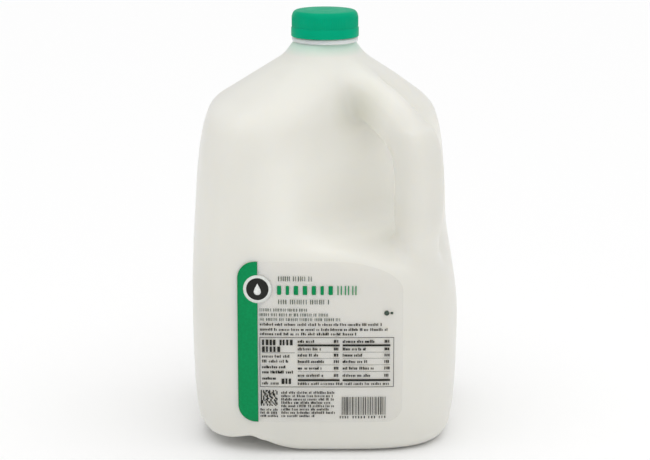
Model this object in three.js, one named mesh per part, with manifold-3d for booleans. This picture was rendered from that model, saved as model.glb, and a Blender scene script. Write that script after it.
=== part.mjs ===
// One-gallon milk jug: a filled blow-moulded bottle with a corner handle, a green screw cap and a
// front label.
// Millimetres, +Z up. The origin is on the floor under the middle of the body, -Y is the label side.
// The handle stands in the front right corner, in the mould's parting plane, which runs diagonally:
// s is the distance from the axis along that plane, and n is measured across it.
import * as THREE from "three";
import { LoftGeometry } from "three/addons/geometries/LoftGeometry.js";
import { mergeVertices } from "three/addons/utils/BufferGeometryUtils.js";
import Module from "manifold-3d";

const wasm = await Module();
wasm.setup();

// Driving dimensions
const SECTION_POINTS = 64;
const ROUND_STEPS = 40;

// Body: half width of the faces and squareness (2 is a circle, 5 a square with round corners)
// at each height, from the top of the heel to the collar under the neck
const HEEL_RADIUS = 10;
const FOOT_HALF_WIDTH = 66;
const FOOT_SQUARENESS = 3.8;
const BODY = [
  { z: 10, half: 76.3, squareness: 3.8 },
  { z: 26, half: 78.0, squareness: 4.3 },
  { z: 55, half: 78.9, squareness: 5.0 },
  { z: 100, half: 79.0, squareness: 5.0 },
  { z: 140, half: 77.0, squareness: 4.8 },
  { z: 170, half: 75.0, squareness: 4.2 },
  { z: 186, half: 72.4, squareness: 3.6 },
  { z: 193, half: 70.2, squareness: 3.2 },
  { z: 198, half: 66.2, squareness: 2.9 },
  { z: 202.5, half: 59.7, squareness: 2.65 },
  { z: 207.5, half: 52.4, squareness: 2.5 },
  { z: 212.5, half: 44.8, squareness: 2.4 },
  { z: 221, half: 32.0, squareness: 2.1 },
  { z: 225.5, half: 25.0, squareness: 2.0 },
  { z: 231, half: 21.0, squareness: 2.0 },
  { z: 233.6, half: 19.4, squareness: 2.0 },
];
const BODY_LEVELS = 28;
const HEEL_LEVELS = 4;

// Handle recess: the corner is cut back to a wall, and a ledge falls outwards under the handle
const RECESS_WALL_S = 34;
const LEDGE_TOP_Z = 131.5;
const LEDGE_SLOPE = 0.32;
const RECESS_FILLET = 12;
const RECESS_REACH = 130;

// Handle: a tube in the parting plane, from the collar down to the ledge
const HANDLE_DEPTH = 25.5;
const HANDLE_WIDTH = 27;
const HANDLE_CORNER = 10.5;
const HANDLE_STEPS = 26;
const HANDLE_ROUTE = [
  { s: 10, z: 216 },
  { s: 27, z: 209 },
  { s: 45, z: 201 },
  { s: 60, z: 193 },
  { s: 72, z: 182 },
  { s: 77, z: 166 },
  { s: 77, z: 141 },
  { s: 77.4, z: 118 },
  { s: 78, z: 96 },
];

// Base: a channel runs straight across under the jug, between two broad feet
const CHANNEL_HALF_WIDTH = 30;
const CHANNEL_SHOULDER = 19;
const CHANNEL_HEIGHT = 9.8;
const CHANNEL_CROWN = 3.2;

// Neck, and the cap that is screwed over it
const NECK_RADIUS = 17.6;
const NECK_RING_RADIUS = 19.7;
const NECK_RING_Z = [233.2, 236.4];
const NECK_TOP_Z = 250.1;
const CAP_RADIUS = 20.2;
const CAP_SKIRT_Z = 236.7;
const CAP_STEP_Z = 242.5;
const CAP_STEP = 0.3;
const CAP_TOP_Z = 252.5;
const CAP_EDGE = { width: 2.8, height: 5 };
const CAP_WALL = 1.6;
const CAP_ROOF = 1.9;
const GAP = 0.3;

// Label: a thin film on the front face. Its top edge bends down under the ledge's rim.
const LABEL_LEFT_X = -50.5;
const LABEL_RIGHT_X = 45;
const LABEL_BOTTOM_Z = 20.5;
const LABEL_TOP_Z = 117;
const LABEL_CORNER = 10;
const LABEL_BEND = { width: 42, height: 17 };
const LABEL_FILM = 0.3;

const UP = new THREE.Vector3(0, 0, 1);
const OUT = new THREE.Vector3(1, -1, 0).normalize();
const ACROSS = new THREE.Vector3().crossVectors(OUT, UP);

// Solids

function solidOf(geometry) {
  const bare = geometry.index ? geometry.toNonIndexed() : geometry.clone();
  bare.deleteAttribute("normal");
  bare.deleteAttribute("uv");
  const merged = mergeVertices(bare, 1e-4);
  return new wasm.Manifold(
    new wasm.Mesh({
      numProp: 3,
      vertProperties: merged.attributes.position.array,
      triVerts: new Uint32Array(merged.index.array),
    }),
  );
}

function geometryOf(solid) {
  const mesh = solid.getMesh();
  const geometry = new THREE.BufferGeometry();
  geometry.setAttribute(
    "position",
    new THREE.BufferAttribute(new Float32Array(mesh.vertProperties), 3),
  );
  geometry.setIndex(new THREE.BufferAttribute(new Uint32Array(mesh.triVerts), 1));
  geometry.computeVertexNormals();
  return geometry;
}

// An outline drawn in s and z, drawn out across the parting plane to both sides of it.
function acrossParting(shape, width) {
  const geometry = new THREE.ExtrudeGeometry(shape, {
    depth: width,
    bevelEnabled: false,
    curveSegments: 10,
  });
  geometry.translate(0, 0, -width / 2);
  return geometry.applyMatrix4(new THREE.Matrix4().makeBasis(OUT, UP, ACROSS));
}

function inPartingPlane({ s, z }) {
  return OUT.clone().multiplyScalar(s).addScaledVector(UP, z);
}

// Body

// A superellipse: a square with round corners and slightly bulging sides, or a circle.
function sectionAt(z, half, squareness, grow) {
  const points = [];
  for (let i = 0; i < SECTION_POINTS; i++) {
    const angle = (2 * Math.PI * i) / SECTION_POINTS;
    const c = Math.cos(angle);
    const d = Math.sin(angle);
    const reach =
      (half + grow) *
      (Math.abs(c) ** squareness + Math.abs(d) ** squareness) ** (-1 / squareness);
    points.push(new THREE.Vector3(reach * c, reach * d, z));
  }
  return points;
}

// The bottle's outer form before the corner is cut back, larger all round by grow.
function bodyForm(grow) {
  const sections = [];
  const heelTop = BODY[0];
  for (let i = 0; i < HEEL_LEVELS; i++) {
    const turn = (Math.PI / 2) * (i / HEEL_LEVELS);
    const share = Math.sin(turn);
    sections.push(
      sectionAt(
        HEEL_RADIUS * (1 - Math.cos(turn)),
        THREE.MathUtils.lerp(FOOT_HALF_WIDTH, heelTop.half, share),
        THREE.MathUtils.lerp(FOOT_SQUARENESS, heelTop.squareness, share),
        grow,
      ),
    );
  }
  const outline = new THREE.CatmullRomCurve3(
    BODY.map(({ z, half, squareness }) => new THREE.Vector3(half, squareness, z)),
    false,
    "centripetal",
  );
  for (const { x, y, z } of outline.getSpacedPoints(BODY_LEVELS)) {
    sections.push(sectionAt(z, x, y, grow));
  }
  return solidOf(new LoftGeometry(sections, { capStart: true, capEnd: true }));
}

function recess() {
  const ledgeEndZ = LEDGE_TOP_Z - LEDGE_SLOPE * (RECESS_REACH - RECESS_WALL_S);
  const roof = CAP_TOP_Z + HEEL_RADIUS;
  const outline = new THREE.Shape();
  outline.moveTo(RECESS_REACH, ledgeEndZ);
  outline.lineTo(RECESS_REACH, roof);
  outline.lineTo(RECESS_WALL_S, roof);
  outline.lineTo(RECESS_WALL_S, LEDGE_TOP_Z + RECESS_FILLET);
  outline.quadraticCurveTo(
    RECESS_WALL_S,
    LEDGE_TOP_Z,
    RECESS_WALL_S + RECESS_FILLET,
    LEDGE_TOP_Z - LEDGE_SLOPE * RECESS_FILLET,
  );
  outline.closePath();
  return solidOf(acrossParting(outline, 2 * RECESS_REACH));
}

function roundedBar(width, depth, corner) {
  const x = width / 2 - corner;
  const y = depth / 2 - corner;
  const bar = new THREE.Shape();
  bar.absarc(x, y, corner, 0, Math.PI / 2);
  bar.absarc(-x, y, corner, Math.PI / 2, Math.PI);
  bar.absarc(-x, -y, corner, Math.PI, 1.5 * Math.PI);
  bar.absarc(x, -y, corner, 1.5 * Math.PI, 2 * Math.PI);
  return bar;
}

function handle() {
  const route = new THREE.CatmullRomCurve3(
    HANDLE_ROUTE.map(inPartingPlane),
    false,
    "centripetal",
  );
  return solidOf(
    new THREE.ExtrudeGeometry(roundedBar(HANDLE_DEPTH, HANDLE_WIDTH, HANDLE_CORNER), {
      steps: HANDLE_STEPS,
      curveSegments: 4,
      extrudePath: route,
      bevelEnabled: false,
    }),
  );
}

function baseChannel() {
  const under = -CHANNEL_HEIGHT;
  const outline = new THREE.Shape();
  outline.moveTo(-CHANNEL_HALF_WIDTH, under);
  outline.lineTo(CHANNEL_HALF_WIDTH, under);
  outline.lineTo(CHANNEL_HALF_WIDTH, 0);
  outline.quadraticCurveTo(
    CHANNEL_SHOULDER + CHANNEL_HEIGHT / 2,
    CHANNEL_HEIGHT,
    CHANNEL_SHOULDER,
    CHANNEL_HEIGHT,
  );
  outline.quadraticCurveTo(0, CHANNEL_CROWN, -CHANNEL_SHOULDER, CHANNEL_HEIGHT);
  outline.quadraticCurveTo(
    -CHANNEL_SHOULDER - CHANNEL_HEIGHT / 2,
    CHANNEL_HEIGHT,
    -CHANNEL_HALF_WIDTH,
    0,
  );
  outline.closePath();
  return solidOf(acrossParting(outline, 2 * RECESS_REACH));
}

// A profile of radii and heights turned about the jug's axis.
function turned(profile) {
  const geometry = new THREE.LatheGeometry(
    profile.map(([radius, z]) => new THREE.Vector2(radius, z)),
    ROUND_STEPS,
  );
  return geometry.rotateX(Math.PI / 2);
}

function neck() {
  const collar = BODY[BODY.length - 1];
  const [ringBottom, ringTop] = NECK_RING_Z;
  return solidOf(
    turned([
      [0, collar.z - HEEL_RADIUS],
      [NECK_RADIUS, collar.z - HEEL_RADIUS],
      [NECK_RADIUS, ringBottom],
      [NECK_RING_RADIUS, ringBottom + GAP],
      [NECK_RING_RADIUS, ringTop - GAP],
      [NECK_RADIUS, ringTop],
      [NECK_RADIUS, NECK_TOP_Z],
      [0, NECK_TOP_Z],
    ]),
  );
}

function jug() {
  const solid = bodyForm(0)
    .subtract(recess())
    .subtract(baseChannel())
    .add(handle())
    .add(neck());
  return new THREE.Mesh(
    geometryOf(solid),
    new THREE.MeshStandardMaterial({ color: 0xeeeee6, roughness: 0.45, metalness: 0 }),
  );
}

// Cap

function cap() {
  const inner = NECK_RADIUS + GAP;
  const roofUnder = CAP_TOP_Z - CAP_ROOF;
  const upper = CAP_RADIUS - CAP_STEP;
  const flat = upper - CAP_EDGE.width;
  const profile = [
    [0, roofUnder],
    [inner, roofUnder],
    [inner, CAP_SKIRT_Z + CAP_WALL],
    [inner + GAP, CAP_SKIRT_Z],
    [CAP_RADIUS, CAP_SKIRT_Z],
    [CAP_RADIUS, CAP_STEP_Z],
    [upper, CAP_STEP_Z + CAP_STEP],
  ];
  const corner = new THREE.EllipseCurve(
    flat,
    CAP_TOP_Z - CAP_EDGE.height - GAP,
    CAP_EDGE.width,
    CAP_EDGE.height,
    0,
    Math.PI / 2,
  );
  for (const { x, y } of corner.getPoints(5)) {
    profile.push([x, y]);
  }
  profile.push([flat / 2, CAP_TOP_Z], [0, CAP_TOP_Z]);
  return new THREE.Mesh(
    turned(profile),
    new THREE.MeshStandardMaterial({ color: 0x00a070, roughness: 0.4, metalness: 0 }),
  );
}

// Label

function labelOutline() {
  const c = LABEL_CORNER;
  const { width, height } = LABEL_BEND;
  const quarter = Math.PI / 2;
  const outline = new THREE.Shape();
  outline.absarc(LABEL_RIGHT_X - c, LABEL_BOTTOM_Z + c, c, -quarter, 0);
  outline.absellipse(LABEL_RIGHT_X - width, LABEL_TOP_Z - height, width, height, 0, quarter);
  outline.absarc(LABEL_LEFT_X + c, LABEL_TOP_Z - c, c, quarter, 2 * quarter);
  outline.absarc(LABEL_LEFT_X + c, LABEL_BOTTOM_Z + c, c, 2 * quarter, 3 * quarter);
  outline.closePath();
  return outline;
}

function label() {
  const front = new THREE.ExtrudeGeometry(labelOutline(), {
    depth: RECESS_REACH,
    bevelEnabled: false,
    curveSegments: 6,
  }).rotateX(Math.PI / 2);
  const film = bodyForm(GAP + LABEL_FILM)
    .subtract(bodyForm(GAP))
    .intersect(solidOf(front));
  return new THREE.Mesh(
    geometryOf(film),
    new THREE.MeshStandardMaterial({ color: 0x009a62, roughness: 0.5, metalness: 0 }),
  );
}

const milkJug = new THREE.Group();
for (const [name, make] of Object.entries({ jug, cap, label })) {
  const mesh = make();
  mesh.name = name;
  milkJug.add(mesh);
}

export default milkJug;
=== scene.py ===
import math
import random

import bmesh
import bpy
from bpy.props import FloatProperty, FloatVectorProperty, IntProperty, PointerProperty
from mathutils import Matrix, Vector
from mathutils.bvhtree import BVHTree


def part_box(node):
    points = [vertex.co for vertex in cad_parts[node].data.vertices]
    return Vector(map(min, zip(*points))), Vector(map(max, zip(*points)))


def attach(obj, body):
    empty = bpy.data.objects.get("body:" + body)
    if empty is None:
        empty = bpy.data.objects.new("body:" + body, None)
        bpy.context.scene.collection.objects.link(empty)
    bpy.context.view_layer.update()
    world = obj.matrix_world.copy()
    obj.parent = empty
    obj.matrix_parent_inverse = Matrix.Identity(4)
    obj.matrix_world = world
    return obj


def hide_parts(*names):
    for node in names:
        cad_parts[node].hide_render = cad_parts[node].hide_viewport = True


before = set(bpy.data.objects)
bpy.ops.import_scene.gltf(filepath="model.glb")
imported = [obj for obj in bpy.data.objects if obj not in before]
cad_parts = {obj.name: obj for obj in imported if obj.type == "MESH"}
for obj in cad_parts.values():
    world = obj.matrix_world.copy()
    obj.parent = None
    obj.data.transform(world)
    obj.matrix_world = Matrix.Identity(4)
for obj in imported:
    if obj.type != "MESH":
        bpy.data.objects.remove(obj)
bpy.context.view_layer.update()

bl_info = {
    "name": "Milk Jug",
    "version": (1, 0, 0),
    "blender": (4, 5, 0),
    "location": "View3D > Sidebar > Milk Jug",
    "description": "A shut and full one-gallon plastic milk jug with its cap and label",
    "category": "Object",
}

MM = 0.001
BODY = "root"
PLASTIC_SLOT = "milky_plastic"
CAP_SLOT = "cap_plastic"
LABEL_SLOT = "label_film"

# The mould's parting plane runs through the handle's corner: s is measured along it, n across it.
OUT = Vector((1.0, -1.0, 0.0)).normalized()
ACROSS = Vector((1.0, 1.0, 0.0)).normalized()
UP = Vector((0.0, 0.0, 1.0))

JUG_LOW, JUG_HIGH = (Vector(corner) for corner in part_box("jug"))
CAP_LOW, CAP_HIGH = (Vector(corner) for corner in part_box("cap"))
LABEL_LOW, LABEL_HIGH = (Vector(corner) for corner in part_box("label"))

# Height, half width and squareness of the body, from the floor to the collar under the neck.
# Squareness 2 is a circle, and 5 is a square with round corners and slightly bulging sides.
HEEL_RADIUS = 10 * MM
FOOT = (0.0, 66.0 * MM, 3.8)
BODY_STATIONS = tuple((z * MM, half * MM, squareness) for z, half, squareness in (
    (10.0, 76.3, 3.8), (26.0, 78.0, 4.3), (55.0, 78.9, 5.0), (100.0, 79.0, 5.0),
    (140.0, 77.0, 4.8), (170.0, 75.0, 4.2), (186.0, 72.4, 3.6), (193.0, 70.2, 3.2),
    (198.0, 66.2, 2.9), (202.5, 59.7, 2.65), (207.5, 52.4, 2.5), (212.5, 44.8, 2.4),
    (221.0, 32.0, 2.1), (225.5, 25.0, 2.0), (231.0, 21.0, 2.0), (233.6, 19.4, 2.0),
))
# The far side is less full from FAR_SIDE_FROM outwards, most at these heights, within a reach
FAR_SIDE_FROM = 38.0 * MM
FAR_SIDE_FADE = 26.0 * MM
FAR_SIDE_HOLLOWS = ((110.0 * MM, 34.0 * MM), (206.0 * MM, 20.0 * MM))
# The handle's centre line in the parting plane, as s and z, from inside the collar to the ledge
HANDLE_ROUTE = tuple((s * MM, z * MM) for s, z in (
    (10.0, 216.0), (27.0, 209.0), (45.0, 201.0), (60.0, 193.0), (72.0, 182.0),
    (77.0, 166.0), (77.0, 141.0), (77.4, 118.0), (78.0, 96.0),
))
# The two spots of painted shade on both sides of the handle's upper root, along and across the
# parting plane
SHADE_SPOT_S, SHADE_SPOT_N, SHADE_SPOT_Z = 43.5 * MM, 13.0 * MM, 199.0 * MM
# How far the cutters of the recess and the channel reach past the body on every side
CUTTER_REACH = 130.0 * MM
# Smoothing passes of the blank's soft edges, of the handle's roots and of the whole skin
BLANK_PASSES, ROOT_PASSES, SKIN_PASSES = 17, 12, 7


def length(name, description, default):
    return FloatProperty(
        name=name, description=description, default=default, unit="LENGTH", subtype="DISTANCE"
    )


def number(name, description, default):
    return FloatProperty(name=name, description=description, default=default)


def colour(name, description, default):
    return FloatVectorProperty(
        name=name, description=description, default=default, subtype="COLOR", size=3,
        min=0.0, max=1.0,
    )


class JugBodySettings(bpy.types.PropertyGroup):
    wall_s: length("Recess Wall", "Distance of the recess wall from the jug's axis", 34 * MM)
    ledge_z: length("Ledge Height", "Height of the ledge where it meets the wall", 131.5 * MM)
    ledge_slope: number("Ledge Slope", "Fall of the ledge for each unit outwards", 0.32)
    handle_depth: length("Handle Depth", "Depth of the handle in the parting plane", 25.5 * MM)
    handle_width: length("Handle Width", "Width of the handle across that plane", 27 * MM)
    channel_half: length("Channel Half Width", "Half width of the channel under the base", 30 * MM)
    channel_shoulder: length("Channel Shoulder", "Half width of the channel's roof", 19 * MM)
    channel_rise: length("Channel Height", "Height of the channel under the base", 9.8 * MM)
    channel_crown: length("Channel Crown", "Pull of the roof's middle", 3.2 * MM)
    far_side_draw: length("Far Side Draw", "How far the far side is drawn in", 2 * MM)
    neck_radius: length("Neck Radius", "Radius of the neck inside the cap", 17.6 * MM)
    blank_voxel: length("Blank Mesh Size", "Edge length of the blank's mesh", 2.4 * MM)
    voxel: length("Mesh Size", "Edge length of the finished surface's mesh", 1.6 * MM)


class NeckRingSettings(bpy.types.PropertyGroup):
    radius: length("Radius", "Outer radius of the ring under the cap", 19.7 * MM)
    bottom_z: length("Bottom", "Height of the ring's lower edge", 233.5 * MM)
    top_z: length("Top", "Height of the ring's upper edge", 236.4 * MM)


class CapSettings(bpy.types.PropertyGroup):
    radius: length("Skirt Radius", "Outer radius of the skirt", 20.2 * MM)
    step: length("Step", "How far the upper part stands back from the tear band", 0.3 * MM)
    step_z: length("Step Height", "Height of the step over the tear band", 242.5 * MM)
    edge: length("Edge Width", "Width of the rounded top edge", 2.8 * MM)
    edge_height: length("Edge Height", "Height of the rounded top edge", 4.6 * MM)
    wall: length("Wall", "Thickness of the cap's wall", 1.6 * MM)
    ribs: IntProperty(name="Ribs", description="Fine grip ribs round the cap", default=120)
    rib_depth: length("Rib Depth", "Depth of the grip ribs", 0.2 * MM)


class LabelSettings(bpy.types.PropertyGroup):
    corner: length("Corner Radius", "Radius of the label's corners", 10 * MM)
    lift: length("Lift", "Distance of the film's face from the jug", 0.4 * MM)
    film: length("Film Thickness", "Thickness of the film", 0.2 * MM)
    ink: length("Ink Thickness", "Thickness of each printed shape", 0.06 * MM)
    band_width: length("Band Width", "Width of the green band", 11.6 * MM)
    roundel: length("Roundel Radius", "Outer radius of the pale ring", 8.2 * MM)
    roundel_z: length("Roundel Height", "Height of the roundel's middle", 101 * MM)
    bottom_of_headline: length("Headline Bottom", "Height of the headline's foot", 97.8 * MM)
    top_of_headline: length("Headline Top", "Height of the headline's top", 103.1 * MM)


class ColourSettings(bpy.types.PropertyGroup):
    milky: colour("Milky Plastic", "Filled plastic wall", (0.833, 0.823, 0.767))
    cap: colour("Cap", "Cap plastic", (0.0, 0.39, 0.205))
    band: colour("Band", "Green band and headline", (0.0, 0.27, 0.085))
    neck: colour("Neck", "Empty neck wall", (0.88, 0.89, 0.86))
    # Painted reflection: the cap's green on the wall under the cap
    painted_cap_green: colour("Cap Glow", "Wall that catches the cap's green", (0.62, 0.80, 0.69))
    ring: colour("Ring", "Pale ring of the roundel", (0.78, 0.80, 0.76))
    drop: colour("Drop", "Milk drop", (0.85, 0.87, 0.84))
    ink: colour("Ink", "Dark small print", (0.022, 0.023, 0.02))
    pale_ink: colour("Pale Ink", "Fine lines round the headline", (0.07, 0.10, 0.08))
    film: colour("Film", "Tint of the clear film", (0.66, 0.62, 0.64))
    floor: colour("Floor", "Studio floor", (0.985, 0.985, 0.985))


class StageSettings(bpy.types.PropertyGroup):
    distance: length("Camera Distance", "Level distance from the jug's axis", 1.2)
    height: length("Camera Height", "Height of the camera", 0.4011)
    pitch: FloatProperty(
        name="Pitch", description="How far the camera looks down", default=math.radians(13.3),
        subtype="ANGLE",
    )
    lens: number("Lens", "Focal length on a sensor 36 mm wide", 111.9)
    room: number("Room Light", "Strength of the even light from all round", 0.6)
    overhead: number("Overhead Light", "Strength of the broad light from above", 1.3)
    front: number("Front Light", "Power of the round light before the jug", 1.9)
    front_size: length("Front Light Size", "Diameter of the light before the jug", 1.2)


SETTINGS = {
    "jug_body": JugBodySettings,
    "jug_neck_ring": NeckRingSettings,
    "jug_cap": CapSettings,
    "jug_label": LabelSettings,
    "jug_colours": ColourSettings,
    "jug_stage": StageSettings,
}


def new_object(name, bm):
    """A linked object that takes over the mesh, with its faces turned outwards."""
    bmesh.ops.recalc_face_normals(bm, faces=bm.faces)
    mesh = bpy.data.meshes.new(name)
    bm.to_mesh(mesh)
    bm.free()
    thing = bpy.data.objects.new(name, mesh)
    bpy.context.scene.collection.objects.link(thing)
    return thing


def finish_piece(name, bm, material, slot, *nodes):
    """A closed mesh becomes a piece that rides on the jug and may stand for CAD nodes."""
    piece = new_object(name, bm)
    for polygon in piece.data.polygons:
        polygon.use_smooth = True
    piece.data.materials.append(material)
    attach(piece, BODY)
    if nodes:
        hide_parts(*nodes)


def remove_object(thing):
    mesh = thing.data
    bpy.data.objects.remove(thing)
    bpy.data.meshes.remove(mesh)


def applied_mesh(thing):
    """The object's mesh with its modifiers applied, as a bmesh."""
    graph = bpy.context.evaluated_depsgraph_get()
    bm = bmesh.new()
    bm.from_object(thing, graph)
    return bm


def smoothstep(value):
    value = min(1.0, max(0.0, value))
    return value * value * (3.0 - 2.0 * value)


def between_stations(z):
    """Half width and squareness at a height, on a smooth curve through the stations."""
    rows = BODY_STATIONS
    if z >= rows[-1][0]:
        return rows[-1][1:]
    i = next(k for k in range(len(rows) - 1) if rows[k + 1][0] >= z)
    a = rows[max(i - 1, 0)]
    b, c = rows[i], rows[i + 1]
    d = rows[min(i + 2, len(rows) - 1)]
    span = c[0] - b[0]
    t = (z - b[0]) / span
    values = []
    for k in (1, 2):
        rise_b = (c[k] - a[k]) / (c[0] - a[0]) * span
        rise_c = (d[k] - b[k]) / (d[0] - b[0]) * span
        values.append(
            (2 * t**3 - 3 * t**2 + 1) * b[k]
            + (t**3 - 2 * t**2 + t) * rise_b
            + (3 * t**2 - 2 * t**3) * c[k]
            + (t**3 - t**2) * rise_c
        )
    return tuple(values)


def section_at(z):
    """Half width and squareness of the body at a height, with the round heel."""
    if z >= BODY_STATIONS[0][0]:
        return between_stations(z)
    share = math.sin(math.acos(max(0.0, 1.0 - z / HEEL_RADIUS)))
    low, high = FOOT, BODY_STATIONS[0]
    return tuple(low[k] + (high[k] - low[k]) * share for k in (1, 2))


def section_radius(angle, half, squareness):
    c, s = abs(math.cos(angle)), abs(math.sin(angle))
    return half * (c**squareness + s**squareness) ** (-1.0 / squareness)


def only(kind, made):
    return [item for item in made if isinstance(item, kind)]


def loft(bm, segments, rings):
    """A closed skin through rings, each a function that places one corner by its angle."""
    start = bmesh.ops.create_circle(bm, cap_ends=True, radius=1.0, segments=segments)["verts"]
    angle_of = {v: math.atan2(v.co.y, v.co.x) for v in start}
    edges = [e for e in bm.edges if e.verts[0] in angle_of and e.verts[1] in angle_of]
    for v, angle in angle_of.items():
        v.co = rings[0](angle)
    for place in rings[1:]:
        before = {v: angle_of[v] for e in edges for v in e.verts}
        made = bmesh.ops.extrude_edge_only(bm, edges=edges)["geom"]
        verts = set(only(bmesh.types.BMVert, made))
        new_edges = only(bmesh.types.BMEdge, made)
        for v in verts:
            old = next(e.other_vert(v) for e in v.link_edges if e.other_vert(v) in before)
            angle_of[v] = before[old]
        for v in verts:
            v.co = place(angle_of[v])
        edges = [e for e in new_edges if e.verts[0] in verts and e.verts[1] in verts]
    bmesh.ops.holes_fill(bm, edges=edges, sides=0)


def body_ring(z):
    half, squareness = section_at(z)

    def place(angle):
        reach = section_radius(angle, half, squareness)
        return Vector((reach * math.cos(angle), reach * math.sin(angle), z))

    return place


def body_form(segments=128, step=2.5 * MM):
    """The bottle's outer form before its corner is cut back."""
    heel_steps = 8
    heights = [
        HEEL_RADIUS * (1.0 - math.cos(0.5 * math.pi * k / heel_steps)) for k in range(heel_steps)
    ]
    bottom, top = BODY_STATIONS[0][0], BODY_STATIONS[-1][0]
    count = round((top - bottom) / step)
    heights += [bottom + (top - bottom) * k / count for k in range(count + 1)]
    bm = bmesh.new()
    loft(bm, segments, [body_ring(z) for z in heights])
    return bm


def across_parting(outline, half_width):
    """An outline in s and z, drawn out to both sides of the parting plane."""
    bm = bmesh.new()
    verts = [bm.verts.new(OUT * s + UP * z - ACROSS * half_width) for s, z in outline]
    face = bm.faces.new(verts)
    made = bmesh.ops.extrude_face_region(bm, geom=[face])["geom"]
    moved = only(bmesh.types.BMVert, made)
    bmesh.ops.translate(bm, verts=moved, vec=ACROSS * (2.0 * half_width))
    return bm


def ledge_height(s, settings):
    return settings.ledge_z - settings.ledge_slope * (s - settings.wall_s)


def recess_form(settings):
    roof = JUG_HIGH.z + HEEL_RADIUS
    outline = (
        (CUTTER_REACH, ledge_height(CUTTER_REACH, settings)),
        (CUTTER_REACH, roof),
        (settings.wall_s, roof),
        (settings.wall_s, settings.ledge_z),
    )
    return across_parting(outline, CUTTER_REACH)


def quadratic(start, pull, end, steps):
    """Points after start on a quadratic curve from start to end."""
    points = []
    for k in range(1, steps + 1):
        t = k / steps
        points.append(tuple(
            (1 - t) ** 2 * a + 2 * t * (1 - t) * b + t**2 * c
            for a, b, c in zip(start, pull, end)
        ))
    return points


def channel_form(settings):
    """A shallow arch across the base, flat in the middle and steep at its flanks."""
    half, shoulder = settings.channel_half, settings.channel_shoulder
    rise, crown = settings.channel_rise, settings.channel_crown
    bend = shoulder + 0.5 * rise
    outline = [(-half, -rise), (half, -rise), (half, 0.0)]
    outline += quadratic((half, 0.0), (bend, rise), (shoulder, rise), 8)
    outline += quadratic((shoulder, rise), (0.0, crown), (-shoulder, rise), 8)
    outline += quadratic((-shoulder, rise), (-bend, rise), (-half, 0.0), 8)
    return across_parting(outline, CUTTER_REACH)


def route_frames(route, count):
    """Points and directions at even steps on a smooth curve through the route."""
    points = [Vector((s, z)) for s, z in route]
    dense = []
    per_span = 24
    for i in range(len(points) - 1):
        a = points[max(i - 1, 0)]
        b, c = points[i], points[i + 1]
        d = points[min(i + 2, len(points) - 1)]
        for k in range(per_span):
            t = k / per_span
            dense.append(0.5 * (
                2 * b + (c - a) * t + (2 * a - 5 * b + 4 * c - d) * t**2
                + (3 * b - a - 3 * c + d) * t**3
            ))
    dense.append(points[-1])
    lengths = [0.0]
    for p, q in zip(dense, dense[1:]):
        lengths.append(lengths[-1] + (q - p).length)
    frames = []
    for k in range(count + 1):
        want = lengths[-1] * k / count
        i = next((j for j in range(len(dense) - 1) if lengths[j + 1] >= want), len(dense) - 2)
        part = (want - lengths[i]) / (lengths[i + 1] - lengths[i])
        low = dense[max(i - 1, 0)]
        high = dense[min(i + 2, len(dense) - 1)]
        frames.append((dense[i].lerp(dense[i + 1], part), (high - low).normalized()))
    return frames


def handle_ring(point, direction, depth, width):
    """A rounded square section, with its depth in the parting plane and its width across it."""
    squareness = 3.0
    side = Vector((direction.y, -direction.x))

    def place(angle):
        c, s = math.cos(angle), math.sin(angle)
        reach = (abs(c) ** squareness + abs(s) ** squareness) ** (-1.0 / squareness)
        flat = point + side * (0.5 * depth * reach * c)
        return OUT * flat.x + UP * flat.y + ACROSS * (0.5 * width * reach * s)

    return place


def handle_form(settings):
    bm = bmesh.new()
    rings = [
        handle_ring(point, direction, settings.handle_depth, settings.handle_width)
        for point, direction in route_frames(HANDLE_ROUTE, 80)
    ]
    loft(bm, 40, rings)
    return bm


def neck_form(settings):
    bm = bmesh.new()
    bottom = BODY_STATIONS[-1][0] - HEEL_RADIUS
    height = JUG_HIGH.z - bottom
    bmesh.ops.create_cone(
        bm, cap_ends=True, segments=96, radius1=settings.neck_radius,
        radius2=settings.neck_radius, depth=height,
        matrix=Matrix.Translation(UP * (bottom + 0.5 * height)),
    )
    return bm


def cut(thing, cutter):
    modifier = thing.modifiers.new("cut", "BOOLEAN")
    modifier.operation = "DIFFERENCE"
    modifier.solver = "EXACT"
    modifier.object = cutter


class JugSurface:
    """Distances from the surfaces that meet in the jug's soft edges."""

    def __init__(self, settings):
        self.settings = settings
        self.frames = [frame_point for frame_point, _ in route_frames(HANDLE_ROUTE, 60)]

    def body(self, co):
        half, squareness = section_at(max(0.0, co.z))
        power = (abs(co.x) ** squareness + abs(co.y) ** squareness) ** (1.0 / squareness)
        low, high = section_at(max(0.0, co.z - MM))[0], section_at(max(0.0, co.z + MM))[0]
        slope = (high - low) / (2.0 * MM)
        return abs(power - half) / math.hypot(1.0, slope)

    def wall(self, co):
        return abs(co.dot(OUT) - self.settings.wall_s)

    def ledge(self, co):
        height = ledge_height(co.dot(OUT), self.settings)
        return abs(co.z - height) / math.hypot(1.0, self.settings.ledge_slope)

    def handle(self, co):
        flat = Vector((co.dot(OUT), co.z))
        n = co.dot(ACROSS)
        aside = min((flat - p).length for p in self.frames)
        radius = 0.5 * self.settings.handle_width
        return abs(math.hypot(aside, n) - radius)

    def channel(self, co):
        s = abs(co.dot(OUT))
        return math.hypot(max(0.0, co.z - MM), abs(s - self.settings.channel_half))


def seam_weight(near, far, width):
    """One on the line where two surfaces meet, fading to nothing at a distance of width."""
    return smoothstep(1.0 - max(near, far) / width)


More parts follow.
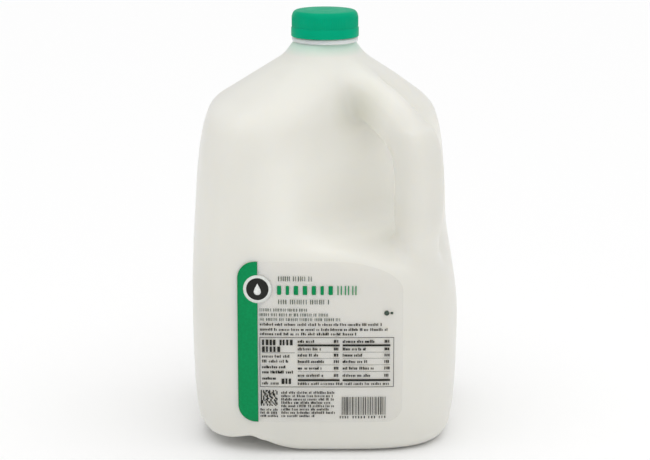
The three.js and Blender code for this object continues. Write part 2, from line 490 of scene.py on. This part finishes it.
def blank_softness(co, surface):
    """How much the blank's surface is eased at a place, from 0 to 1."""
    settings = surface.settings
    s, n = co.dot(OUT), co.dot(ACROSS)
    softness = 0.1 * smoothstep(1.0 - surface.channel(co) / (8 * MM))
    if s > 0.3 * settings.wall_s and co.z > 0.5 * settings.ledge_z:
        body, wall, ledge = surface.body(co), surface.wall(co), surface.ledge(co)
        far_side = smoothstep(0.5 + n / (60 * MM))
        rim_width = (15 + 25 * far_side) * MM
        softness = max(
            softness,
            seam_weight(body, wall, 36 * MM),
            (0.22 + 0.78 * far_side) * seam_weight(body, ledge, rim_width),
            0.6 * seam_weight(wall, ledge, 20 * MM),
        )
    return softness


def root_softness(co, surface):
    """How much the skin is eased where the handle grows out of the body, from 0 to 1."""
    if co.dot(OUT) < 0.4 * surface.settings.wall_s or co.z < 0.6 * surface.settings.ledge_z:
        return 0.0
    handle = surface.handle(co)
    far_side = smoothstep(0.5 + co.dot(ACROSS) / (30 * MM))
    ledge_width = (22 + 8 * far_side) * MM
    return max(
        0.5 * seam_weight(handle, surface.wall(co), 12 * MM),
        seam_weight(handle, surface.ledge(co), ledge_width),
        0.8 * seam_weight(handle, surface.body(co), 14 * MM) if co.z > 0.19 else 0.0,
    )


class MILKJUG_OT_body(bpy.types.Operator):
    """Mould the jug's body with its handle as one skin with soft edges"""

    bl_idname = "milkjug.body"
    bl_label = "Jug Body"

    def execute(self, context):
        settings = context.scene.jug_body
        surface = JugSurface(settings)
        whole = new_object("whole", body_form())
        cutters = [
            new_object("recess", recess_form(settings)),
            new_object("channel", channel_form(settings)),
        ]
        for cutter in cutters:
            cut(whole, cutter)
        rough = new_object("rough", applied_mesh(whole))
        blank = self.even_skin(rough, settings.blank_voxel)
        self.ease(blank, surface, blank_softness, BLANK_PASSES)
        for extra in (handle_form(settings), neck_form(settings)):
            joined = bpy.data.meshes.new("joined")
            extra.to_mesh(joined)
            extra.free()
            blank.from_mesh(joined)
            bpy.data.meshes.remove(joined)
        parts = new_object("parts", blank)
        skin = self.even_skin(parts, settings.voxel)
        for thing in [parts, rough, whole] + cutters:
            remove_object(thing)
        self.ease(skin, surface, root_softness, ROOT_PASSES)
        self.smooth(skin, skin.verts, SKIN_PASSES)
        self.draw_in_far_side(skin, settings.far_side_draw)
        self.keep_inside(skin)
        finish_piece(
            "jug_body", skin, milky_plastic(context.scene.jug_colours), PLASTIC_SLOT, "jug"
        )
        return {"FINISHED"}

    def even_skin(self, thing, size):
        """One closed skin of even faces round everything in the mesh."""
        remesh = thing.modifiers.new("remesh", "REMESH")
        remesh.mode = "VOXEL"
        remesh.voxel_size = size
        skin = applied_mesh(thing)
        if len(skin.faces) < 1000:
            raise RuntimeError("the jug's skin came out empty")
        return skin

    def smooth(self, skin, verts, passes):
        for _ in range(passes):
            bmesh.ops.smooth_vert(
                skin, verts=verts, factor=0.5, use_axis_x=True, use_axis_y=True,
                use_axis_z=True,
            )

    def ease(self, skin, surface, softness_at, passes):
        """Smooth the skin most where two of the mould's surfaces meet."""
        levels = 8
        bands = {}
        for v in skin.verts:
            bands.setdefault(math.ceil(softness_at(v.co, surface) * levels), []).append(v)
        for k in range(levels):
            verts = [v for band, group in bands.items() if band > k for v in group]
            if verts:
                self.smooth(skin, verts, passes)

    def draw_in_far_side(self, skin, most):
        """Draw the far side in a little where it is less full: under the ledge, and up at the
        shoulder."""
        for v in skin.verts:
            near_face = smoothstep((v.co.x - FAR_SIDE_FROM) / FAR_SIDE_FADE)
            for z, reach in FAR_SIDE_HOLLOWS if near_face > 0.0 else ():
                v.co.x -= most * near_face * smoothstep(1.0 - abs(v.co.z - z) / reach)

    def keep_inside(self, skin):
        for v in skin.verts:
            v.co.x = min(JUG_HIGH.x, max(JUG_LOW.x, v.co.x))
            v.co.y = min(JUG_HIGH.y, max(JUG_LOW.y, v.co.y))
            v.co.z = min(JUG_HIGH.z, max(JUG_LOW.z, v.co.z))


def turned(profile, steps):
    """A closed profile of radii and heights spun round the jug's axis."""
    bm = bmesh.new()
    verts = [bm.verts.new((radius, 0.0, z)) for radius, z in profile]
    edges = [bm.edges.new((a, b)) for a, b in zip(verts, verts[1:])]
    if profile[0][0] > 0.0:
        edges.append(bm.edges.new((verts[-1], verts[0])))
    bmesh.ops.spin(
        bm, geom=verts + edges, cent=(0, 0, 0), axis=(0, 0, 1), angle=2 * math.pi, steps=steps,
        use_merge=True,
    )
    bmesh.ops.remove_doubles(bm, verts=bm.verts, dist=1e-6)
    return bm


def arc(centre_r, centre_z, radius, start, end, count):
    """Points of an arc in radius and height, angles in degrees."""
    points = []
    for k in range(count + 1):
        angle = math.radians(start + (end - start) * k / count)
        points.append((centre_r + radius * math.cos(angle), centre_z + radius * math.sin(angle)))
    return points


class MILKJUG_OT_neck_ring(bpy.types.Operator):
    """Turn the round ring that stands out of the neck under the cap"""

    bl_idname = "milkjug.neck_ring"
    bl_label = "Neck Ring"

    def execute(self, context):
        ring = context.scene.jug_neck_ring
        inner = context.scene.jug_body.neck_radius - MM
        corner = 1.0 * MM
        profile = [(inner, ring.bottom_z)]
        profile += arc(ring.radius - corner, ring.bottom_z + corner, corner, -90, 0, 6)
        profile += arc(ring.radius - corner, ring.top_z - corner, corner, 0, 90, 6)
        profile.append((inner, ring.top_z))
        finish_piece(
            "neck_ring", turned(profile, 128), neck_plastic(context.scene.jug_colours),
            PLASTIC_SLOT,
        )
        return {"FINISHED"}


class MILKJUG_OT_cap(bpy.types.Operator):
    """Turn the screw cap with its tear band and fine grip ribs"""

    bl_idname = "milkjug.cap"
    bl_label = "Screw Cap"

    def execute(self, context):
        cap = context.scene.jug_cap
        low, high = CAP_LOW.z, CAP_HIGH.z
        upper = cap.radius - cap.step
        lip = 0.35 * MM
        groove = 0.35 * MM
        dome = 0.5 * MM
        inner = upper - cap.wall
        profile = [(0.0, high - cap.wall - dome), (inner, high - cap.wall - dome)]
        profile.append((inner, low + 2 * lip))
        profile += arc(cap.radius - lip, low + lip, lip, -90, 0, 4)
        profile += [
            (cap.radius, cap.step_z - 2 * groove),
            (cap.radius - groove, cap.step_z - groove),
            (upper - groove, cap.step_z),
            (upper, cap.step_z + groove),
        ]
        stretch = cap.edge_height / cap.edge
        for radius, z in arc(upper - cap.edge, 0.0, cap.edge, 0, 82, 12):
            profile.append((radius, high - dome - cap.edge_height + z * stretch))
        top_edge = profile[-1]
        rounds = 6
        for k in range(1, rounds + 1):
            part = 1.0 - k / rounds
            profile.append((top_edge[0] * part, high - (high - top_edge[1]) * part**2))
        bm = turned(profile, 4 * cap.ribs)
        self.cut_ribs(bm, cap, upper)
        finish_piece(
            "screw_cap", bm, cap_plastic(context.scene.jug_colours), CAP_SLOT, "cap"
        )
        return {"FINISHED"}

    def cut_ribs(self, bm, cap, upper):
        """Press shallow flutes into the wall over the tear band."""
        high = CAP_HIGH.z - cap.edge_height + MM
        for v in bm.verts:
            radius = math.hypot(v.co.x, v.co.y)
            if radius < upper - 0.2 * MM or not cap.step_z <= v.co.z < high:
                continue
            wave = 0.5 - 0.5 * math.cos(math.atan2(v.co.y, v.co.x) * cap.ribs)
            scale = 1.0 - cap.rib_depth * wave / radius
            v.co.x *= scale
            v.co.y *= scale


def quarter_arc(x, z, width, height, quarter, steps=12):
    """Points of a quarter ellipse round (x, z), where quarter 0 is the one up and to the right."""
    angles = [0.5 * math.pi * (quarter + k / steps) for k in range(steps + 1)]
    return [Vector((x + width * math.cos(a), z + height * math.sin(a))) for a in angles]


def rectangle(left, right, bottom, top, radius=0.0):
    """Corners anticlockwise from the lower left one, each rounded if there is a radius."""
    corners = ((left, bottom, 2), (right, bottom, 3), (right, top, 0), (left, top, 1))
    if radius == 0.0:
        return [Vector((x, z)) for x, z, _ in corners]
    points = []
    for x, z, quarter in corners:
        inward_x = radius if x == left else -radius
        inward_z = radius if z == bottom else -radius
        points += quarter_arc(x + inward_x, z + inward_z, radius, radius, quarter, 8)
    return points


def disc(x, z, radius, steps=40):
    return [
        Vector((x + radius * math.cos(2 * math.pi * k / steps),
                z + radius * math.sin(2 * math.pi * k / steps)))
        for k in range(steps)
    ]


def drop(x, z, size, steps=36):
    """A milk drop: round below, and drawn to a point above."""
    points = []
    for k in range(steps):
        angle = 2 * math.pi * k / steps
        narrow = 0.85 * math.sin(0.5 * angle) ** 1.6
        aside = size * narrow * math.sin(angle)
        points.append(Vector((x + aside, z + size * math.cos(angle))))
    return points


class Print:
    """Flat shapes that are laid on the jug's front face, as one thin piece of ink."""

    grid = 4 * MM
    stand_off = 200 * MM

    def __init__(self):
        bm = bmesh.new()
        bm.from_mesh(bpy.data.objects["jug_body"].data)
        self.tree = BVHTree.FromBMesh(bm)
        bm.free()
        self.bm = bmesh.new()

    def front(self, x, z):
        hit = self.tree.ray_cast(Vector((x, -self.stand_off, z)), Vector((0.0, 1.0, 0.0)))[0]
        if hit is None:
            raise RuntimeError("a printed shape lies off the jug's front face")
        return hit.y

    def add(self, outline):
        """Fill an outline and cut it along a grid, so that it can bend with the face."""
        part = bmesh.new()
        part.faces.new([part.verts.new((p.x, 0.0, p.y)) for p in outline])
        for axis, values in ((0, [p.x for p in outline]), (2, [p.y for p in outline])):
            normal = Vector((1, 0, 0)) if axis == 0 else Vector((0, 0, 1))
            k = math.floor(min(values) / self.grid) + 1
            while k * self.grid < max(values):
                bmesh.ops.bisect_plane(
                    part, geom=part.verts[:] + part.edges[:] + part.faces[:],
                    plane_co=normal * (k * self.grid), plane_no=normal,
                )
                k += 1
        mesh = bpy.data.meshes.new("shape")
        part.to_mesh(mesh)
        part.free()
        self.bm.from_mesh(mesh)
        bpy.data.meshes.remove(mesh)

    def lay(self, lift, thickness):
        """Bend the shapes to the face, lift them off it and give them their thickness."""
        bm = self.bm
        bmesh.ops.triangulate(bm, faces=[f for f in bm.faces if len(f.verts) > 4])
        for v in bm.verts:
            v.co.y = self.front(v.co.x, v.co.z) - lift
        for face in bm.faces:
            face.normal_update()
            if face.normal.y > 0.0:
                face.normal_flip()
        made = bmesh.ops.extrude_face_region(bm, geom=bm.faces[:])["geom"]
        raised = only(bmesh.types.BMVert, made)
        bmesh.ops.translate(bm, verts=raised, vec=(0.0, -thickness, 0.0))
        return bm


def label_outline(label):
    """The film's outline: round corners, and a top edge that bends down under the ledge's rim."""
    c = label.corner
    left, right = LABEL_LOW.x, LABEL_HIGH.x
    low, high = LABEL_LOW.z, LABEL_HIGH.z
    bend_width, bend_height = 42 * MM, 17 * MM
    return (
        quarter_arc(right - c, low + c, c, c, -1)
        + quarter_arc(right - bend_width, high - bend_height, bend_width, bend_height, 0, 40)
        + quarter_arc(left + c, high - c, c, c, 1)
        + quarter_arc(left + c, low + c, c, c, 2)
    )


class MILKJUG_OT_label_film(bpy.types.Operator):
    """Lay the clear film of the label on the front face"""

    bl_idname = "milkjug.label_film"
    bl_label = "Label Film"

    def execute(self, context):
        label = context.scene.jug_label
        sheet = Print()
        sheet.add(label_outline(label))
        bm = sheet.lay(label.lift - label.film, label.film)
        finish_piece(
            "label_film", bm, film_plastic(context.scene.jug_colours), LABEL_SLOT, "label"
        )
        return {"FINISHED"}


def band_outline(label):
    """The green band down the film's left edge, with both its outer corners rounded."""
    c = label.corner
    left, low, high = LABEL_LOW.x, LABEL_LOW.z, LABEL_HIGH.z
    right = left + label.band_width
    return (
        [Vector((right, low)), Vector((right, high))]
        + quarter_arc(left + c, high - c, c, c, 1)
        + quarter_arc(left + c, low + c, c, c, 2)
    )


class MILKJUG_OT_label_band(bpy.types.Operator):
    """Print the green band with its plain roundel and milk drop"""

    bl_idname = "milkjug.label_band"
    bl_label = "Band and Roundel"

    def execute(self, context):
        label = context.scene.jug_label
        colours = context.scene.jug_colours
        centre = (LABEL_LOW.x + label.band_width, label.roundel_z)
        layers = (
            ("label_band", band_outline(label), colours.band),
            ("roundel_ring", disc(*centre, label.roundel), colours.ring),
            ("roundel_disc", disc(*centre, 0.79 * label.roundel), colours.ink),
            ("roundel_drop", drop(*centre, 0.42 * label.roundel), colours.drop),
        )
        for order, (name, outline, ink_colour) in enumerate(layers):
            sheet = Print()
            sheet.add(outline)
            bm = sheet.lay(label.lift + order * label.ink, label.ink)
            finish_piece(name, bm, ink(name, ink_colour), LABEL_SLOT)
        return {"FINISHED"}


def marks(rng, left, right, z, height, pitch, stroke=0.6, even=False):
    """Small upright marks in groups between left and right, in place of words."""
    x, group = left, rng.randint(3, 8)
    while x + pitch < right:
        if group == 0:
            group = rng.randint(2, 8)
            x += 0.9 * pitch
            continue
        reach = height if even else height * rng.choice((1.0, 0.72, 0.72))
        width = pitch * stroke * rng.uniform(0.75, 1.25)
        yield rectangle(x, x + width, z - 0.5 * height, z - 0.5 * height + reach)
        x += pitch * rng.uniform(0.85, 1.2)
        group -= 1


def in_mm(*lengths):
    return [value * MM for value in lengths]


class MILKJUG_OT_label_headline(bpy.types.Operator):
    """Print the headline's plain green blocks and slim bars"""

    bl_idname = "milkjug.label_headline"
    bl_label = "Headline"

    def execute(self, context):
        label = context.scene.jug_label
        colours = context.scene.jug_colours
        sheet = Print()
        low, high = label.bottom_of_headline, label.top_of_headline
        x, gap, rounding, bar = in_mm(-27.6, 2.65, 0.5, 0.65)
        for width in in_mm(2.4, 1.9, 2.6, 2.5, 2.4, 1.9, 2.5):
            sheet.add(rectangle(x, x + width, low, high, rounding))
            x += width + gap
        for pitch in in_mm(1.9, 2.3, 1.9, 2.4, 1.8, 1.8):
            sheet.add(rectangle(x, x + bar, low, high))
            x += pitch
        bm = sheet.lay(label.lift, label.ink)
        finish_piece("headline", bm, ink("headline_ink", colours.band), LABEL_SLOT)
        return {"FINISHED"}


class MILKJUG_OT_label_small_print(bpy.types.Operator):
    """Print the marks, ruled panel, stripes and squares that stand for the small print"""

    bl_idname = "milkjug.label_small_print"
    bl_label = "Small Print"

    def execute(self, context):
        label = context.scene.jug_label
        colours = context.scene.jug_colours
        rng = random.Random(11)
        dark = (self.notes, self.panel, self.panel_side, self.code_square, self.paragraph,
                self.stripes)
        for name, tone, makers in (
            ("fine_print", colours.pale_ink, (self.fine_lines,)),
            ("small_print", colours.ink, dark),
        ):
            sheet = Print()
            for make in makers:
                for outline in make(rng):
                    sheet.add(outline)
            bm = sheet.lay(label.lift, label.ink)
            finish_piece(name, bm, ink(name + "_ink", tone), LABEL_SLOT)
        return {"FINISHED"}

    def fine_lines(self, rng):
        """Pale lines round the headline: ends, height, height of the marks, pitch and stroke."""
        for *row, stroke in (
            (-26.9, -6.2, 107.2, 2.8, 1.25, 0.36),
            (-26.9, 3.4, 93.6, 2.7, 1.3, 0.4),
            (-37.6, -8.6, 88.8, 1.7, 0.95, 0.45),
            (-37.6, 2.6, 85.9, 1.7, 0.95, 0.45),
            (-37.6, 9.4, 83.1, 1.7, 0.95, 0.45),
        ):
            yield from marks(rng, *in_mm(*row), stroke, even=True)
        yield disc(*in_mm(35.6, 87.0, 1.5))
        yield rectangle(*in_mm(37.7, 39.3, 86.3, 87.7))

    def notes(self, rng):
        """Three dark lines between the fine lines and the panel."""
        for row in (
            (-37.6, 33.6, 80.2, 1.6, 0.9),
            (-37.6, 37.2, 77.2, 1.6, 0.9),
            (-37.6, 18.4, 74.5, 1.6, 1.0),
        ):
            yield from marks(rng, *in_mm(*row), stroke=0.64)

    def panel(self, rng):
        """A thin frame with two ruled columns of marks."""
        left, right, bottom, top = in_mm(-37.8, 39.9, 42.3, 72.5)
        line, thick, thin = in_mm(0.3, 0.6, 0.08)
        yield rectangle(left, right, top - line, top)
        yield rectangle(left, right, bottom, bottom + line)
        yield rectangle(left, left + line, bottom + line, top - line)
        yield rectangle(right - line, right, bottom + line, top - line)
        for start, end in (in_mm(-15.8, 8.5), in_mm(10.2, 37.8)):
            for z in in_mm(67.7, 46.6):
                yield rectangle(start, end, z - thick, z + thick)
            for z in in_mm(63.6, 59.9, 55.9, 51.8):
                yield rectangle(start, end, z - thin, z + thin)
            for z in in_mm(70.1, 65.5, 61.8, 57.9, 53.9, 49.5):
                middle = start + rng.uniform(0.45, 0.7) * (end - start)
                yield from marks(rng, start, middle, z, 1.7 * MM, 0.95 * MM, 0.68)
                yield from marks(rng, end - 3.4 * MM, end, z, 1.7 * MM, 1.0 * MM, 0.7, True)
        yield from marks(rng, *in_mm(-15.8, 37.8, 44.4, 1.5, 0.95))

    def panel_side(self, rng):
        """Bold and fine marks down the panel's left side."""
        for start, end, z in ((-36.4, -16.6, 69.4), (-36.4, -24.0, 65.3), (-25.2, -18.4, 45.9)):
            yield from marks(rng, *in_mm(start, end, z, 3.3, 1.95), stroke=0.66, even=True)
        yield rectangle(*in_mm(-36.4, -17.4, 63.1, 63.3))
        for end, z, stroke in ((-19.0, 61.1, 0.6), (-20.0, 58.1, 0.6), (-22.0, 54.6, 0.8),
                               (-17.4, 51.5, 0.8), (-26.4, 47.7, 0.8), (-26.4, 44.7, 0.6)):
            yield from marks(rng, *in_mm(-36.4, end, z, 1.7, 1.0), stroke=stroke)

    def code_square(self, rng):
        """A square of small dark cells in no order, and lines under it."""
        cells = 14
        left, top, pitch = in_mm(-37.4, 40.5, 0.7)
        for row in range(cells):
            high = top - row * pitch
            column = 0
            while column < cells:
                end = min(cells, column + rng.choice((1, 1, 2)))
                yield rectangle(left + column * pitch, left + end * pitch, high - pitch, high)
                column = end + rng.randint(1, 2)
        for z in (28.4, 26.4, 24.4):
            yield from marks(rng, *in_mm(-37.6, -27.2, z, 1.4, 0.9))

    def paragraph(self, rng):
        for k, end in enumerate((6.3, 5.0, 6.6, 4.2, 6.0, 3.0, 6.4, -6.0)):
            yield from marks(rng, *in_mm(-25.4, end, 39.0 - 2.07 * k, 1.5, 0.9))

    def stripes(self, rng):
        """Upright stripes of uneven width over a row of small marks."""
        x, right, low, high = in_mm(9.8, 35.6, 25.2, 36.3)
        while x < right:
            width = rng.choice((0.2, 0.25, 0.35, 0.5)) * MM
            yield rectangle(x, x + width, low, high)
            x += width + rng.choice((0.4, 0.55, 0.75)) * MM
        yield from marks(rng, *in_mm(8.6, 37.0, 23.7, 1.5, 1.5), stroke=0.4, even=True)


def new_material(name, base, roughness, **inputs):
    """A material with even inputs, whose names have _ for each space."""
    material = bpy.data.materials.new(name)
    material.use_nodes = True
    shader = material.node_tree.nodes["Principled BSDF"]
    shader.inputs["Base Color"].default_value = (*base, 1.0)
    shader.inputs["Roughness"].default_value = roughness
    for key, value in inputs.items():
        shader.inputs[key.replace("_", " ")].default_value = value
    return material, material.node_tree, shader


def noise(tree, scale, detail, coordinates):
    node = tree.nodes.new("ShaderNodeTexNoise")
    node.inputs["Scale"].default_value = scale
    node.inputs["Detail"].default_value = detail
    tree.links.new(coordinates, node.inputs["Vector"])
    return node.outputs["Fac"]


def shade(tone, factor):
    return tuple(min(1.0, channel * factor) for channel in tone)


def mottled(tree, base, clouds, low, high):
    """The base tone in soft clouds, from low to high times itself."""
    node = tree.nodes.new("ShaderNodeValToRGB")
    for element, position, factor in zip(node.color_ramp.elements, (0.3, 0.7), (low, high)):
        element.position = position
        element.color = (*shade(base, factor), 1.0)
    tree.links.new(clouds, node.inputs["Fac"])
    return node.outputs["Color"]


def to_range(tree, value, low, high, new_low, new_high):
    node = tree.nodes.new("ShaderNodeMapRange")
    for name, limit in (("From Min", low), ("From Max", high), ("To Min", new_low),
                        ("To Max", new_high)):
        node.inputs[name].default_value = limit
    tree.links.new(value, node.inputs["Value"])
    return node.outputs["Result"]


def share(tree, value, start, end):
    """Zero at start and one at end, also where start is the greater."""
    return to_range(tree, value, start, end, 0.0, 1.0)


def measure(tree, kind, place, vector):
    """The DISTANCE of the surface from a point, or its DOT_PRODUCT with a direction."""
    node = tree.nodes.new("ShaderNodeVectorMath")
    node.operation = kind
    tree.links.new(place, node.inputs[0])
    node.inputs[1].default_value = vector
    return node.outputs["Value"]


def product(tree, *factors):
    total = factors[0]
    for factor in factors[1:]:
        node = tree.nodes.new("ShaderNodeMath")
        node.operation = "MULTIPLY"
        tree.links.new(total, node.inputs[0])
        tree.links.new(factor, node.inputs[1])
        total = node.outputs["Value"]
    return total


def finish_surface(tree, shader, base, clouds, gloss, grains):
    """Mottle the tone, vary the roughness and raise fine grains, all by noise on the object.

    clouds and gloss hold the noise's scale and detail and the lowest and highest value, and
    each grain holds the noise's scale and the bump's strength and distance."""
    place = tree.nodes.new("ShaderNodeTexCoord").outputs["Object"]
    scale, detail, low, high = clouds
    tone = mottled(tree, base, noise(tree, scale, detail, place), low, high)
    tree.links.new(tone, shader.inputs["Base Color"])
    if gloss:
        scale, detail, low, high = gloss
        roughness = to_range(tree, noise(tree, scale, detail, place), 0.3, 0.7, low, high)
        tree.links.new(roughness, shader.inputs["Roughness"])
    normal = None
    for scale, strength, distance in grains:
        node = tree.nodes.new("ShaderNodeBump")
        node.inputs["Strength"].default_value = strength
        node.inputs["Distance"].default_value = distance
        tree.links.new(noise(tree, scale, 2.0, place), node.inputs["Height"])
        if normal:
            tree.links.new(normal, node.inputs["Normal"])
        normal = node.outputs["Normal"]
        tree.links.new(normal, shader.inputs["Normal"])
    return place, tone


def mix(tree, factor, a, b, kind="MIX"):
    node = tree.nodes.new("ShaderNodeMix")
    node.data_type = "RGBA"
    node.blend_type = kind
    if isinstance(factor, float):
        node.inputs[0].default_value = factor
    else:
        tree.links.new(factor, node.inputs[0])
    for socket, value in ((node.inputs[6], a), (node.inputs[7], b)):
        if isinstance(value, tuple):
            socket.default_value = (*value, 1.0)
        else:
            tree.links.new(value, socket)
    return node.outputs[2]


# What the wall's tone is multiplied by: painted shade on the handle, painted light in the recess
# and painted shade at the two spots beside the handle's upper root
HANDLE_PAINTED_SHADE = (0.945, 0.945, 0.945)
RECESS_PAINTED_LIGHT = (1.065, 1.065, 1.065)
SPOT_PAINTED_SHADE = (0.88, 0.885, 0.845)
# The jug's wall lets light in a little way and has a satin gloss
MILKY_WALL = {
    "Subsurface_Weight": 1.0,
    "Subsurface_Radius": (1.0, 0.95, 0.85),
    "Subsurface_Scale": 7 * MM,
    "IOR": 1.5,
    "Specular_IOR_Level": 0.45,
}


def with_painted_light_and_shade(tree, place, height, tone):
    """Painted shade darkens the handle, painted light makes the recess before the full body paler,
    and painted shade darkens two spots beside the handle's upper root."""
    reach = measure(tree, "DOT_PRODUCT", place, OUT)
    # Painted shade: the handle's tone is lowered
    handle = product(
        tree, share(tree, reach, 56 * MM, 74 * MM), share(tree, height, 124 * MM, 142 * MM)
    )
    tone = mix(tree, handle, tone, HANDLE_PAINTED_SHADE, "MULTIPLY")
    # Painted light: the recess's tone is raised against its shade
    recess = product(
        tree,
        share(tree, reach, 22 * MM, 34 * MM), share(tree, reach, 66 * MM, 52 * MM),
        share(tree, height, 112 * MM, 126 * MM), share(tree, height, 190 * MM, 168 * MM),
    )
    tone = mix(tree, recess, tone, RECESS_PAINTED_LIGHT, "MULTIPLY")
    # Painted shade: two dark spots in the crease beside the handle's upper root
    for side in (-1, 1):
        shade_spot = OUT * SHADE_SPOT_S + ACROSS * (side * SHADE_SPOT_N) + UP * SHADE_SPOT_Z
        near = share(tree, measure(tree, "DISTANCE", place, shade_spot), 20 * MM, 3 * MM)
        tone = mix(tree, near, tone, SPOT_PAINTED_SHADE, "MULTIPLY")
    return tone


def milky_plastic(colours):
    """The filled wall: faint clouds, fine grain, painted shade that darkens it towards the bottom,
    on the handle and at two spots beside the handle's upper root, painted light that pales the
    recess, and a painted reflection of the cap's green on the cooler neck.
    """
    base = tuple(colours.milky)
    material, tree, shader = new_material("milky_plastic", base, 0.36, **MILKY_WALL)
    place, clouds = finish_surface(
        tree, shader, base, (14.0, 3.0, 0.975, 1.015), (60.0, 3.0, 0.32, 0.42),
        [(22.0, 0.25, 1.5 * MM), (900.0, 0.12, 0.1 * MM)],
    )
    split = tree.nodes.new("ShaderNodeSeparateXYZ")
    tree.links.new(place, split.inputs["Vector"])
    height = split.outputs["Z"]
    # Painted shade: the wall is darker towards the bottom
    lower = to_range(tree, height, 20 * MM, 160 * MM, 0.93, 1.0)
    filled = mix(tree, 1.0, clouds, lower, "MULTIPLY")
    filled = with_painted_light_and_shade(tree, place, height, filled)
    # Painted reflection of the cap's green on the collar under the neck
    cap_green_mask = share(tree, height, 226.5 * MM, 232 * MM)
    tone = mix(tree, cap_green_mask, filled, tuple(colours.painted_cap_green))
    tree.links.new(tone, shader.inputs["Base Color"])
    return material


def neck_plastic(colours):
    """The empty neck's wall: paler and cooler than the filled body."""
    base = tuple(colours.neck)
    material, tree, shader = new_material("neck_plastic", base, 0.34, **MILKY_WALL)
    finish_surface(
        tree, shader, base, (60.0, 2.0, 0.96, 1.03), None, [(500.0, 0.1, 0.1 * MM)]
    )
    return material


def cap_plastic(colours):
    """Opaque green moulding with a soft gloss and a fine grain."""
    base = tuple(colours.cap)
    material, tree, shader = new_material(
        "cap_plastic", base, 0.36, Specular_IOR_Level=0.04, Subsurface_Weight=0.15,
        Subsurface_Radius=(0.3, 1.0, 0.6), Subsurface_Scale=2 * MM,
    )
    finish_surface(
        tree, shader, base, (90.0, 3.0, 0.95, 1.05), (200.0, 2.0, 0.32, 0.42),
        [(1100.0, 0.12, 0.1 * MM)],
    )
    return material


def film_plastic(colours):
    """The clear film: it shows the wall behind it through a faint tint."""
    base = tuple(colours.film)
    material, tree, shader = new_material(
        "film_plastic", base, 0.3, Specular_IOR_Level=0.3, Alpha=0.035
    )
    finish_surface(
        tree, shader, base, (18.0, 2.0, 0.97, 1.03), None, [(30.0, 0.2, 0.5 * MM)]
    )
    return material


def ink(name, tone):
    """Printed ink: nearly even, with a little mottle and a dull gloss."""
    base = tuple(tone)
    material, tree, shader = new_material(name, base, 0.4, Specular_IOR_Level=0.12)
    finish_surface(
        tree, shader, base, (700.0, 2.0, 0.92, 1.08), (250.0, 2.0, 0.36, 0.46), []
    )
    return material


class MILKJUG_OT_stage(bpy.types.Operator):
    """Set up the pale floor, the soft studio light and the camera"""

    bl_idname = "milkjug.stage"
    bl_label = "Stage"

    def execute(self, context):
        self.floor(context.scene.jug_colours)
        self.lights(context.scene)
        self.camera(context.scene)
        return {"FINISHED"}

    def floor(self, colours):
        bm = bmesh.new()
        bmesh.ops.create_grid(bm, x_segments=1, y_segments=1, size=8.0)
        mesh = bpy.data.meshes.new("floor")
        bm.to_mesh(mesh)
        bm.free()
        material, _, _ = new_material("floor_paper", tuple(colours.floor), 0.9)
        mesh.materials.append(material)
        floor = bpy.data.objects.new("floor", mesh)
        bpy.context.scene.collection.objects.link(floor)

    def lights(self, scene):
        stage = scene.jug_stage
        world = bpy.data.worlds.new("studio")
        world.use_nodes = True
        background = world.node_tree.nodes["Background"]
        background.inputs["Color"].default_value = (1.0, 1.0, 1.0, 1.0)
        background.inputs["Strength"].default_value = stage.room
        scene.world = world
        sky = bpy.data.lights.new("overhead", "SUN")
        sky.energy = stage.overhead
        sky.angle = math.radians(90.0)
        self.place(scene, sky, (0.12, -0.12, 1.6), (0.0, 0.0, 0.0))
        key = bpy.data.lights.new("front", "AREA")
        key.shape = "DISK"
        key.size = stage.front_size
        key.energy = stage.front
        self.place(scene, key, (0.2, -2.0, 1.0), (0.0, 0.0, 0.12))
        scene.view_settings.view_transform = "Standard"

    def place(self, scene, light, spot, aim):
        lamp = bpy.data.objects.new(light.name, light)
        lamp.location = spot
        lamp.rotation_euler = (Vector(aim) - Vector(spot)).to_track_quat("-Z", "Y").to_euler()
        scene.collection.objects.link(lamp)

    def camera(self, scene):
        stage = scene.jug_stage
        data = bpy.data.cameras.new("camera")
        data.sensor_width = 36.0
        data.lens = stage.lens
        camera = bpy.data.objects.new("camera", data)
        camera.location = (0.0, -stage.distance, stage.height)
        camera.rotation_euler = (0.5 * math.pi - stage.pitch, 0.0, 0.0)
        scene.collection.objects.link(camera)
        scene.camera = camera


class MILKJUG_PT_panel(bpy.types.Panel):
    """The jug's sizes, colours and making steps"""

    bl_idname = "MILKJUG_PT_panel"
    bl_label = "Milk Jug"
    bl_space_type = "VIEW_3D"
    bl_region_type = "UI"
    bl_category = "Milk Jug"

    def draw(self, context):
        for name, group in SETTINGS.items():
            box = self.layout.box()
            settings = getattr(context.scene, name)
            for field in group.__annotations__:
                box.prop(settings, field)
        for operator in OPERATORS:
            self.layout.operator(operator.bl_idname)


OPERATORS = (
    MILKJUG_OT_stage,
    MILKJUG_OT_body,
    MILKJUG_OT_neck_ring,
    MILKJUG_OT_cap,
    MILKJUG_OT_label_film,
    MILKJUG_OT_label_band,
    MILKJUG_OT_label_headline,
    MILKJUG_OT_label_small_print,
)


def register():
    for group in SETTINGS.values():
        bpy.utils.register_class(group)
    for operator in OPERATORS:
        bpy.utils.register_class(operator)
    bpy.utils.register_class(MILKJUG_PT_panel)
    for name, group in SETTINGS.items():
        setattr(bpy.types.Scene, name, PointerProperty(type=group))


def unregister():
    for name in SETTINGS:
        delattr(bpy.types.Scene, name)
    bpy.utils.unregister_class(MILKJUG_PT_panel)
    for operator in reversed(OPERATORS):
        bpy.utils.unregister_class(operator)
    for group in reversed(SETTINGS.values()):
        bpy.utils.unregister_class(group)


def main():
    register()
    for operator in OPERATORS:
        family, action = operator.bl_idname.split(".")
        getattr(getattr(bpy.ops, family), action)()


if __name__ == "__main__":
    main()
